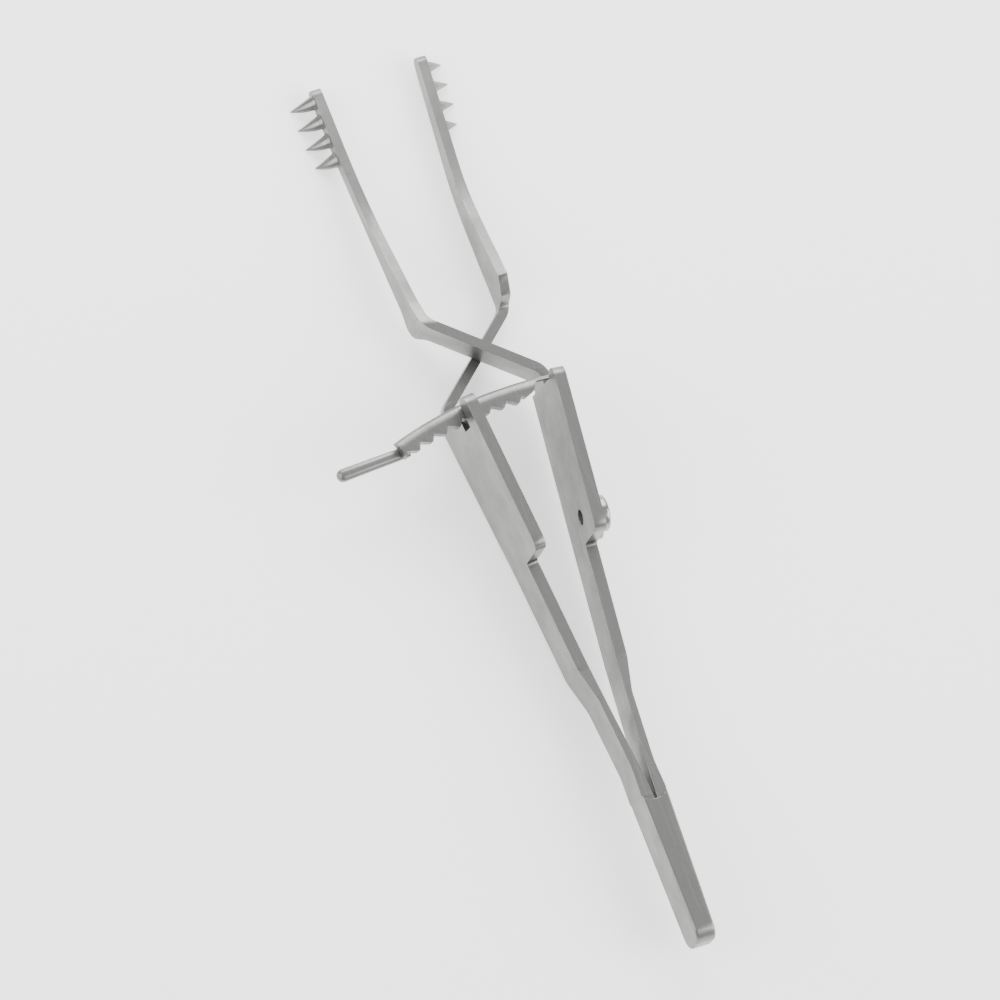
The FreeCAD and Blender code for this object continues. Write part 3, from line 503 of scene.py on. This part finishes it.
def loft(name: str, rings: np.ndarray) -> bpy.types.Mesh:
    """Join rings of points into a closed skin.

    Ring i and ring i + 1 are joined by quads, point j to point j + 1 around, and each end is
    closed by a fan about the mean of its ring. Faces point outwards: where the sum of the
    faces' signed volumes comes out negative, every face is turned round.

    Args:
        name: The mesh's name.
        rings: Points as an array of rings, points around and coordinates.

    Returns:
        The mesh.
    """
    count, around, _ = rings.shape
    points = np.vstack([rings.reshape(-1, 3), rings[0].mean(0), rings[-1].mean(0)])
    i, j = np.meshgrid(np.arange(count - 1), np.arange(around), indexing="ij")
    k = (j + 1) % around
    quads = np.stack([i * around + j, i * around + k, (i + 1) * around + k,
                      (i + 1) * around + j], -1).reshape(-1, 4)
    j = np.arange(around)
    k = (j + 1) % around
    first = np.stack([k, j, np.full(around, count * around)], -1)
    last = np.stack([j, k, np.full(around, count * around + 1)], -1)
    last[:, :2] += (count - 1) * around
    a, b, c = (points[quads[:, n]] for n in (0, 1, 2))
    if np.einsum("ij,ij->", a - points.mean(0), np.cross(b - a, c - a)) < 0:
        quads, first, last = quads[:, ::-1], first[:, ::-1], last[:, ::-1]
    mesh = bpy.data.meshes.new(name)
    mesh.from_pydata(points.tolist(), [], quads.tolist() + first.tolist() + last.tolist())
    mesh.shade_smooth()
    return mesh


@dataclass
class Butt:
    """The solid butt that joins the two leaves.

    Attributes:
        corner_mm: Width of the softened corners.
        cut_mm: Distance between the cuts across it.
    """

    corner_mm: float = 0.2
    cut_mm: float = 0.6

    def dress(self, satin: bpy.types.Material, edge: bpy.types.Material
              ) -> list[bpy.types.Object]:
        """Soften and finish the butt.

        Args:
            satin: Finish of the faces.
            edge: Finish of the corners.

        Returns:
            The piece.
        """
        return [soften("butt_block", ["left_leaf_spring", "right_leaf_spring"],
                       Dressing(satin, edge, Slot.SATIN, self.corner_mm, cut_mm=self.cut_mm))]


@dataclass
class Limb:
    """One forging: a spring leaf, its gripping plate, the crossing bar and a rake's arm.

    Attributes:
        nodes: The CAD nodes of the forging, in order from the butt.
        corner_mm: Width of the softened corners.
        cut_mm: Distance between the cuts across it.
        ease_mm: How far the bends of the rake's arm are eased.
    """

    nodes: tuple[str, ...]
    corner_mm: float = 0.32
    cut_mm: float = 0.6
    ease_mm: float = 3.0

    def dress(self, satin: bpy.types.Material, edge: bpy.types.Material
              ) -> list[bpy.types.Object]:
        """Soften and finish the forging, piece by piece.

        Args:
            satin: Finish of the faces.
            edge: Finish of the corners.

        Returns:
            The pieces.
        """
        pieces = []
        for i, node in enumerate(self.nodes):
            last = node == self.nodes[-1]
            dressing = Dressing(satin, edge, Slot.SATIN, self.corner_mm, cut_mm=self.cut_mm,
                                ease_mm=self.ease_mm if last else 0.0)
            near = [*self.nodes[max(i - 1, 0):i], *self.nodes[i + 1:i + 2]]
            if i == 0:
                near.append("butt_block")
            pieces.append(soften(node, near, dressing))
        return pieces


@dataclass
class Rake:
    """Four claws of one arm, filed to keen points that curve down.

    Attributes:
        hand: The rake's side.
        reach_mm: How far each claw stands out from the arm, from the tip end on.
        half_width_mm: Half of a claw's width at its root.
        half_height_mm: Half of its height there.
        drop_mm: How far its point hangs below the middle of its root.
        bow_mm: How far its middle line bows towards the butt.
        fullness: Power of the taper: 1 gives straight flanks, more gives fuller ones.
        hook: Power of the drop: 1 gives a straight claw, more gives a hooked one.
        flare_mm: Extra width where the claw runs into the arm.
        flare_length_mm: Length over which the flare dies away.
        sunk_mm: How far the root reaches into the arm.
        point_mm: Radius of the point.
        point_share: Share of the reach over which the point rounds off.
        end_mm: Radius of the last ring, which closes the point.
        cad_half_height_mm: Half of the CAD claw's height at its root.
        spacing: Power that sets the rings closer together towards the point.
        rings: Number of sections along a claw.
        around: Number of points in a section.
    """

    hand: str
    reach_mm: tuple[float, ...]
    half_width_mm: float
    half_height_mm: float = 0.58
    drop_mm: float = 1.5
    bow_mm: float = 0.0
    fullness: float = 1.0
    hook: float = 1.35
    flare_mm: float = 0.16
    flare_length_mm: float = 0.16
    sunk_mm: float = 0.12
    point_mm: float = 0.035
    point_share: float = 0.03
    end_mm: float = 0.004
    cad_half_height_mm: float = 0.64
    spacing: float = 0.85
    rings: int = 40
    around: int = 36

    def claw(self, number: int, reach_mm: float) -> bpy.types.Mesh:
        """Work out one claw.

        An ellipse is carried along a bowed path from the root to the point.
        At the share t of the way, the middle has gone out by t times the reach and down by
        t to the power of the hook times the drop, and bows sideways by 4 t (1 - t) times the bow.
        The half width and half height shrink with 1 - t to the power of the fullness, and
        the flare dies away exponentially with the distance from the arm.

        Args:
            number: The claw's number, from the tip end on.
            reach_mm: How far it stands out.

        Returns:
            The claw's mesh.
        """
        low, high = (np.array(corner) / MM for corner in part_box(self.node(number)))
        side = -1.0 if self.hand == "left" else 1.0
        root_x = high[0] if side < 0 else low[0]
        root_z = high[2] - self.cad_half_height_mm
        start = -self.sunk_mm / reach_mm
        share = start + (1 - start) * np.linspace(0, 1, self.rings) ** self.spacing
        t = np.clip(share, 0, 1)
        flare = self.flare_mm * np.exp(-np.maximum(share, 0) * reach_mm / self.flare_length_mm)
        taper = np.maximum(1 - t ** self.fullness, 0)
        point = self.point_mm * np.sqrt(np.clip((1 - t) / self.point_share, 0, 1))
        wide = np.where(t < 1, self.half_width_mm * taper + flare + point, self.end_mm)
        tall = np.where(t < 1, self.half_height_mm * taper + flare + point, self.end_mm)
        turn = np.linspace(0, 2 * np.pi, self.around, endpoint=False)
        x = root_x + side * share * reach_mm
        y = (low[1] + high[1]) / 2 - 4 * self.bow_mm * t * (1 - t)
        z = root_z - self.drop_mm * t ** self.hook
        rings = np.stack([
            np.repeat(x[:, None], self.around, 1),
            y[:, None] + wide[:, None] * np.cos(turn),
            z[:, None] + tall[:, None] * np.sin(turn),
        ], -1)
        return loft(f"{self.node(number)}_horn", rings * MM)

    def node(self, number: int) -> str:
        """Return the CAD node of a claw."""
        return f"{self.hand}_rake_claw_{number}"

    def dress(self, ground: bpy.types.Material) -> list[bpy.types.Object]:
        """Make and finish the claws.

        Args:
            ground: Their finish.

        Returns:
            The pieces.
        """
        pieces = []
        for number, reach_mm in enumerate(self.reach_mm, start=1):
            mesh = self.claw(number, reach_mm)
            mesh.materials.append(ground)
            pieces.append(stand_for(self.node(number), mesh))
        return pieces


@dataclass
class Ratchet:
    """The toothed bar with its spring tail, thumb tab and screw.

    Attributes:
        bar_corner_mm: Width of the toothed bar's softened corners.
        spring_corner_mm: Width of the spring's and the screw's softened corners.
        tab_taper: Share by which the tab is narrower at the bar.
        tab_width_mm: Width of the tab.
        tab_power: Power of the tab's superellipse: 2 is an ellipse, more is squarer.
        tab_spacing: Power that sets the tab's rings closer together towards its free end.
        thinnest: Least share, squared, of its width and height that an end ring keeps.
        rings: Number of sections along the tab.
        around: Number of points in a section.
    """

    bar_corner_mm: float = 0.07
    spring_corner_mm: float = 0.08
    tab_taper: float = 0.12
    tab_width_mm: float = 1.55
    tab_power: float = 2.6
    tab_spacing: float = 1.6
    thinnest: float = 1e-6
    rings: int = 60
    around: int = 40

    def tongue(self) -> bpy.types.Mesh:
        """Work out the thumb tab.

        A superellipse is carried along the CAD tab's long axis, from under the bar to the
        free end. Its half width and half height follow a circle over the last stretch, so
        that the end is round in plan and in profile, and shrink evenly towards the bar.

        Returns:
            The tab's mesh.
        """
        mesh = frame["nodes"]["thumb_tab"].data
        points = np.empty(len(mesh.vertices) * 3)
        mesh.vertices.foreach_get("co", points)
        points = points.reshape(-1, 3)
        middle = (points.min(0) + points.max(0)) / 2
        axis = np.linalg.svd((points - points.mean(0))[:, :2], full_matrices=False)[2][0]
        axis = axis if axis[0] < 0 else -axis
        side = np.array([-axis[1], axis[0]])
        along = (points[:, :2] - middle[:2]) @ axis
        across = (points[:, :2] - middle[:2]) @ side
        length = along.max() - along.min()
        width, tall = self.tab_width_mm / 2 * MM, np.ptp(points[:, 2]) / 2
        t = 1 - (1 - np.linspace(0, 1, self.rings)) ** self.tab_spacing
        to_end = (1 - t) * length
        plan, profile = (
            np.sqrt(np.clip(1 - (1 - np.minimum(to_end / radius, 1)) ** 2, self.thinnest, 1))
            for radius in (width, tall))
        narrow = 1 - self.tab_taper * (1 - t)
        turn = np.linspace(0, 2 * np.pi, self.around, endpoint=False)
        power = 2 / self.tab_power
        out = np.sign(np.cos(turn)) * np.abs(np.cos(turn)) ** power
        up = np.sign(np.sin(turn)) * np.abs(np.sin(turn)) ** power
        line = middle[:2] + np.outer(along.min() + t * length, axis)
        shift = (across.max() + across.min()) / 2
        sideways = shift + (width * narrow * plan)[:, None] * out
        rings = np.dstack([
            line[:, :1] + sideways * side[0],
            line[:, 1:] + sideways * side[1],
            middle[2] + (tall * narrow * profile)[:, None] * up,
        ])
        return loft("thumb_tab_tongue", rings)

    def dress(self, satin: bpy.types.Material, edge: bpy.types.Material,
              turned: bpy.types.Material) -> list[bpy.types.Object]:
        """Soften and finish the ratchet.

        Args:
            satin: Finish of the faces.
            edge: Finish of the corners.
            turned: Finish of the screw.

        Returns:
            The pieces.
        """
        pieces = [
            soften("ratchet_bar", ["thumb_tab", "ratchet_spring"],
                   Dressing(satin, edge, Slot.SATIN, self.bar_corner_mm, crown=Crown())),
            soften("ratchet_spring", ["ratchet_bar"],
                   Dressing(satin, edge, Slot.SATIN, self.spring_corner_mm)),
        ]
        tongue = self.tongue()
        tongue.materials.append(satin)
        pieces.append(stand_for("thumb_tab", tongue))
        pieces.append(soften("ratchet_screw", [],
                             Dressing(turned, turned, Slot.SCREW, self.spring_corner_mm)))
        return pieces


@dataclass(frozen=True)
class Softbox:
    """A square, even light.

    Attributes:
        name: The light's name.
        place_mm: Its centre.
        width: Its width in metres.
        power: Its power in watts.
        target_mm: The point that it faces.
    """

    name: str
    place_mm: tuple[float, float, float]
    width: float
    power: float
    target_mm: tuple[float, float, float] = (0.0, 50.0, 0.0)


@dataclass
class Studio:
    """Pale floor, soft lights and the camera at the photograph's angle.

    Attributes:
        across: The picture's horizontal axis in the row frame.
        up: The picture's vertical axis.
        toward: The direction from the object to the camera.
        middle_mm: The point at the picture's centre.
        field_mm: Width of the picture at the object.
        distance: Distance of the camera.
        clip: Nearest and farthest distance that it shows.
        reach: How far the floor reaches from the origin.
        paper: Colour of the floor.
        paper_roughness: Its roughness.
        glow_colour: Colour of the light that comes through it, as on a light table.
        glow: Strength of that light.
        room: Colour of the even light around the scene.
        room_strength: Strength of that light.
        softboxes: The lights.
    """

    across: tuple[float, float, float] = (0.909026, -0.344752, 0.234131)
    up: tuple[float, float, float] = (0.286356, 0.924904, 0.250106)
    toward: tuple[float, float, float] = (-0.302773, -0.160308, 0.939484)
    middle_mm: tuple[float, float, float] = (-3.872, 48.010, 1.226)
    field_mm: float = 114.94
    distance: float = 0.6
    clip: tuple[float, float] = (0.01, 10.0)
    reach: float = 3.0
    paper: str = "#FCFCFB"
    paper_roughness: float = 0.9
    glow_colour: str = "#FFFFFF"
    glow: float = 0.9
    room: str = "#FFFFFF"
    room_strength: float = 0.84
    softboxes: tuple[Softbox, ...] = (
        Softbox("key_softbox", (430.0, -200.0, 380.0), 0.5, 4.5),
        Softbox("side_softbox", (-360.0, 120.0, 260.0), 0.3, 1.3),
        Softbox("tip_softbox", (60.0, 330.0, 190.0), 0.3, 1.7, (0.0, 80.0, 0.0)),
    )

    def camera(self) -> bpy.types.Object:
        """Create the camera and make it the scene's.

        Returns:
            The camera object.
        """
        data = bpy.data.cameras.new("camera")
        data.type = "ORTHO"
        data.ortho_scale = self.field_mm * MM
        data.clip_start, data.clip_end = self.clip
        camera = bpy.data.objects.new("camera", data)
        turn = Matrix((self.across, self.up, self.toward)).transposed().to_4x4()
        place = Vector(self.middle_mm) * MM + Vector(self.toward) * self.distance
        camera.matrix_world = Matrix.Translation(place) @ turn
        bpy.context.scene.collection.objects.link(camera)
        bpy.context.scene.camera = camera
        return camera

    def floor(self, level: float) -> bpy.types.Object:
        """Create the floor, a sheet that is flat and reaches far past the object.

        Args:
            level: Its height.

        Returns:
            The floor object.
        """
        corners = np.array([(-1, -1), (1, -1), (1, 1), (-1, 1)], float) * self.reach
        points = np.column_stack([corners, np.full(4, level)])
        mesh = bpy.data.meshes.new("floor")
        mesh.from_pydata(points.tolist(), [], [(0, 1, 2, 3)])
        floor = bpy.data.objects.new("floor", mesh)
        bpy.context.scene.collection.objects.link(floor)
        material = bpy.data.materials.new("pale_paper")
        material.use_nodes = True
        shader = material.node_tree.nodes["Principled BSDF"]
        shader.inputs["Base Color"].default_value = linear(self.paper)
        shader.inputs["Roughness"].default_value = self.paper_roughness
        shader.inputs["Emission Color"].default_value = linear(self.glow_colour)
        shader.inputs["Emission Strength"].default_value = self.glow
        floor.data.materials.append(material)
        return floor

    def light(self, softbox: Softbox) -> bpy.types.Object:
        """Create one square softbox.

        Args:
            softbox: Its sizes.

        Returns:
            The light object.
        """
        data = bpy.data.lights.new(softbox.name, "AREA")
        data.shape = "SQUARE"
        data.size = softbox.width
        data.energy = softbox.power
        lamp = bpy.data.objects.new(softbox.name, data)
        place, target = Vector(softbox.place_mm), Vector(softbox.target_mm)
        aim = (target - place).to_track_quat("-Z", "Y")
        lamp.matrix_world = Matrix.LocRotScale(place * MM, aim, None)
        bpy.context.scene.collection.objects.link(lamp)
        return lamp

    def world(self) -> None:
        """Set the even light that surrounds the scene."""
        world = bpy.data.worlds.new("soft_room")
        world.use_nodes = True
        back = world.node_tree.nodes["Background"]
        back.inputs["Color"].default_value = linear(self.room)
        back.inputs["Strength"].default_value = self.room_strength
        bpy.context.scene.world = world

    def build(self, level: float) -> None:
        """Build floor, lights, world and camera.

        Args:
            level: Height of the floor.
        """
        self.floor(level)
        for lamp in self.softboxes:
            self.light(lamp)
        self.world()
        self.camera()


def main() -> None:
    """Build the retractor and its studio, and report each piece."""
    satin = SATIN.build()
    edge = EDGE.build()
    ground = GROUND.build()
    turned = TURNED.build()
    pieces = Butt().dress(satin, edge)
    for nodes in (
        ("left_leaf_spring", "left_grip_plate", "lower_cross_bar", "right_rake_arm"),
        ("right_leaf_spring", "right_grip_plate", "upper_cross_bar", "left_rake_arm"),
    ):
        pieces += Limb(nodes).dress(satin, edge)
    pieces += Rake("left", (2.6, 2.55, 2.5, 2.2), 0.78, bow_mm=0.12, fullness=1.5).dress(ground)
    pieces += Rake("right", (2.25, 2.4, 2.45, 2.15), 0.72, fullness=1.15).dress(ground)
    pieces += Ratchet().dress(satin, edge, turned)
    for piece in pieces:
        log.info("%s has %d faces", piece.name, len(piece.data.polygons))
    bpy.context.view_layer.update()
    Studio().build(CAD_BOX[0].z)


if __name__ == "__main__":
    logging.basicConfig(level=logging.INFO, format="%(name)s: %(message)s")
    main()
